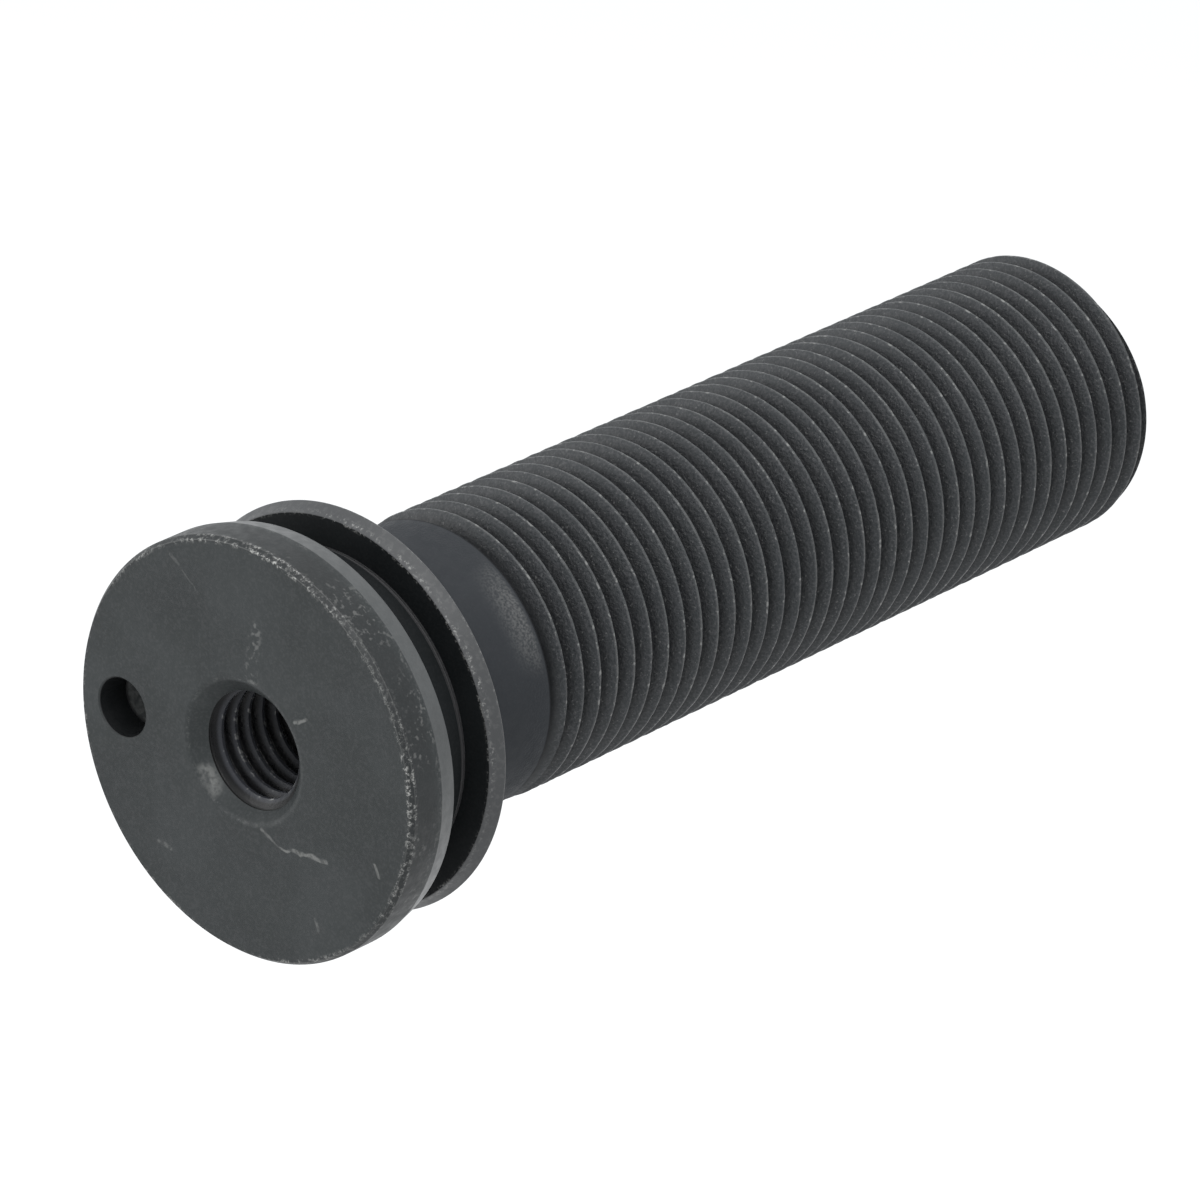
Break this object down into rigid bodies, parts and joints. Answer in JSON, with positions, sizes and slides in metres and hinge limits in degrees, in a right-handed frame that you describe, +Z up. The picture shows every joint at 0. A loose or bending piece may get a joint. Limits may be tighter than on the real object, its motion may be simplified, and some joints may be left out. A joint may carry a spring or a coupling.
{
  "type": "thrust spindle with swivel head",
  "caption": "Hollow threaded spindle with a flange and concave neck, carrying a disc-shaped head with a tapped centre hole that swivels on a ball thrust bearing.",
  "frame": {"origin": "on the common axis, half-way along the overall length, inside the threaded shank", "axes": "+Y along the axis, from the thrust face towards the far end of the thread; -X through the pin hole in the thrust face; +Z up as the part lies in the picture"},
  "size_m": [0.034, 0.097, 0.034],
  "materials": {
    "black_steel": "black phosphated steel, fine satin grain, worn bright on edges and thread crests",
    "bearing_steel": "ground and polished bearing steel",
    "cage_bronze": "machined bronze",
    "bush_bronze": "sintered bronze, oiled",
    "spring_steel": "oil-blackened spring steel",
    "seal_rubber": "matte black nitrile rubber"
  },
  "bodies": {
    "spindle": {"threaded_spindle": "black_steel", "rear_race": "bearing_steel", "dust_seal": "seal_rubber", "guide_bush": "bush_bronze", "drive_insert": "black_steel"},
    "head": {"thrust_head": "black_steel", "front_race": "bearing_steel", "retaining_washer": "spring_steel", "retaining_ring": "spring_steel"},
    "ball_set": {"ball_cage": "cage_bronze", "ball_01": "bearing_steel", "ball_02": "bearing_steel", "ball_03": "bearing_steel", "ball_04": "bearing_steel", "ball_05": "bearing_steel", "ball_06": "bearing_steel", "ball_07": "bearing_steel", "ball_08": "bearing_steel", "ball_09": "bearing_steel", "ball_10": "bearing_steel", "ball_11": "bearing_steel", "ball_12": "bearing_steel", "ball_13": "bearing_steel", "ball_14": "bearing_steel"}
  },
  "joints": [
    {"name": "head_swivel", "type": "hinge", "parent": "spindle", "child": "head", "pos_m": [0, -0.0411, 0], "axis": [0, 1, 0], "continuous": true},
    {"name": "cage_spin", "type": "hinge", "parent": "spindle", "child": "ball_set", "pos_m": [0, -0.0411, 0], "axis": [0, 1, 0], "continuous": true}
  ],
  "couplings": [
    {"joint": "cage_spin", "follows": "head_swivel", "ratio": 0.5}
  ]
}
